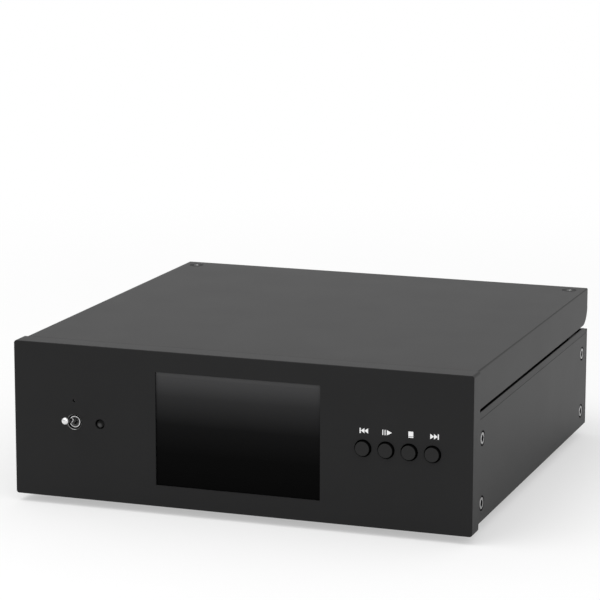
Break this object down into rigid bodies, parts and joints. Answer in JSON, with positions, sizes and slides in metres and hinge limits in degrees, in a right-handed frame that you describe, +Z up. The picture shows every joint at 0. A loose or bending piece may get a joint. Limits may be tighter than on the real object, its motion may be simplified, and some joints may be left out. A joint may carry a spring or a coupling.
{
  "type": "cd player",
  "caption": "Low black metal disc player with a rear-hinged lid over the disc bay, a display window, round transport buttons and a toggle switch on a thick front panel.",
  "frame": {"origin": "under the middle of the whole object, on the surface that the feet stand on", "axes": "+Z up, the front panel faces -Y, +X is to the right seen from the front"},
  "size_m": [0.206, 0.2218, 0.0715],
  "materials": {
    "black_anodised": "satin black anodised",
    "bright_steel": "plain bright steel",
    "chrome": "polished chrome plate",
    "brass": "plain or gold-plated brass",
    "black_plastic": "fine matt black moulding",
    "white_plastic": "natural white acetal",
    "clear_plastic": "clear gloss moulding",
    "circuit_board": "green circuit board",
    "black_rubber": "matt black rubber",
    "dark_glass": "smooth dark glass"
  },
  "bodies": {
    "case": {"front_panel": "black_anodised", "chassis_tray": "black_anodised", "rear_panel": "black_anodised", "corner_bar_left": "black_anodised", "corner_bar_right": "black_anodised", "hinge_bracket_left": "black_anodised", "hinge_bracket_right": "black_anodised", "hinge_pin_left": "bright_steel", "hinge_pin_right": "bright_steel", "side_screw_left_front_low": "bright_steel", "side_screw_left_front_high": "bright_steel", "side_screw_left_rear_low": "bright_steel", "side_screw_left_rear_high": "bright_steel", "side_screw_right_front_low": "bright_steel", "side_screw_right_front_high": "bright_steel", "side_screw_right_rear_low": "bright_steel", "side_screw_right_rear_high": "bright_steel", "foot_front_left": "black_rubber", "foot_front_right": "black_rubber", "foot_rear_left": "black_rubber", "foot_rear_right": "black_rubber", "display_glass": "dark_glass", "display_module": "black_plastic", "button_board": "circuit_board", "toggle_switch": "chrome", "power_light": "clear_plastic", "remote_lens": "dark_glass", "deck": "black_plastic", "drive_base": "bright_steel", "damper_front_left": "black_rubber", "damper_front_right": "black_rubber", "damper_rear_left": "black_rubber", "damper_rear_right": "black_rubber", "spindle_motor": "bright_steel", "guide_rod_front": "bright_steel", "guide_rod_rear": "bright_steel", "sled_motor": "bright_steel", "main_board": "circuit_board", "balanced_socket": "black_anodised", "coaxial_socket": "brass", "optical_socket": "black_plastic", "link_socket": "bright_steel", "power_inlet": "black_plastic"},
    "lid": {"lid": "black_anodised", "hinge_block_left": "black_anodised", "hinge_block_right": "black_anodised", "lid_screw_left": "bright_steel", "lid_screw_right": "bright_steel"},
    "previous_button": {"button_previous": "black_plastic"},
    "play_pause_button": {"button_play_pause": "black_plastic"},
    "stop_button": {"button_stop": "black_plastic"},
    "next_button": {"button_next": "black_plastic"},
    "toggle": {"toggle_lever": "chrome"},
    "spindle": {"spindle_shaft": "bright_steel", "turntable": "black_plastic"},
    "puck": {"disc_puck": "bright_steel"},
    "sled": {"laser_sled": "black_plastic"},
    "lens": {"objective_lens": "clear_plastic"},
    "gear": {"drive_gear": "white_plastic"},
    "pinion": {"motor_pinion": "brass"}
  },
  "joints": [
    {"name": "lid_hinge", "type": "hinge", "parent": "case", "child": "lid", "pos_m": [0, 0.09308, 0.06275], "axis": [-1, 0, 0], "range_deg": [0, 95]},
    {"name": "previous_press", "type": "slide", "parent": "case", "child": "previous_button", "axis": [0, 1, 0], "range_m": [0, 0.0008], "stiffness_N_per_m": 200},
    {"name": "play_pause_press", "type": "slide", "parent": "case", "child": "play_pause_button", "axis": [0, 1, 0], "range_m": [0, 0.0008], "stiffness_N_per_m": 200},
    {"name": "stop_press", "type": "slide", "parent": "case", "child": "stop_button", "axis": [0, 1, 0], "range_m": [0, 0.0008], "stiffness_N_per_m": 200},
    {"name": "next_press", "type": "slide", "parent": "case", "child": "next_button", "axis": [0, 1, 0], "range_m": [0, 0.0008], "stiffness_N_per_m": 200},
    {"name": "toggle_tilt", "type": "hinge", "parent": "case", "child": "toggle", "pos_m": [-0.075, -0.09737, 0.0375], "axis": [1, 0, 0], "range_deg": [0, 25]},
    {"name": "spindle_spin", "type": "hinge", "parent": "case", "child": "spindle", "pos_m": [0, 0.00793, 0.0464], "axis": [0, 0, 1], "continuous": true},
    {"name": "puck_lift", "type": "slide", "parent": "spindle", "child": "puck", "axis": [0, 0, 1], "range_m": [0, 0.012]},
    {"name": "sled_slide", "type": "slide", "parent": "case", "child": "sled", "axis": [1, 0, 0], "range_m": [0, 0.034]},
    {"name": "lens_focus", "type": "slide", "parent": "sled", "child": "lens", "axis": [0, 0, 1], "range_m": [-0.0005, 0.0005], "stiffness_N_per_m": 60},
    {"name": "gear_turn", "type": "hinge", "parent": "case", "child": "gear", "pos_m": [0.048, 0.03843, 0.033], "axis": [0, 0, 1], "range_deg": [-5, 565]},
    {"name": "pinion_turn", "type": "hinge", "parent": "case", "child": "pinion", "pos_m": [0.06, 0.03843, 0.032], "axis": [0, 0, 1], "range_deg": [-1680, 5]}
  ],
  "couplings": [
    {"joint": "gear_turn", "follows": "sled_slide", "rad_per_m": 285.71},
    {"joint": "pinion_turn", "follows": "sled_slide", "rad_per_m": -857.14}
  ]
}
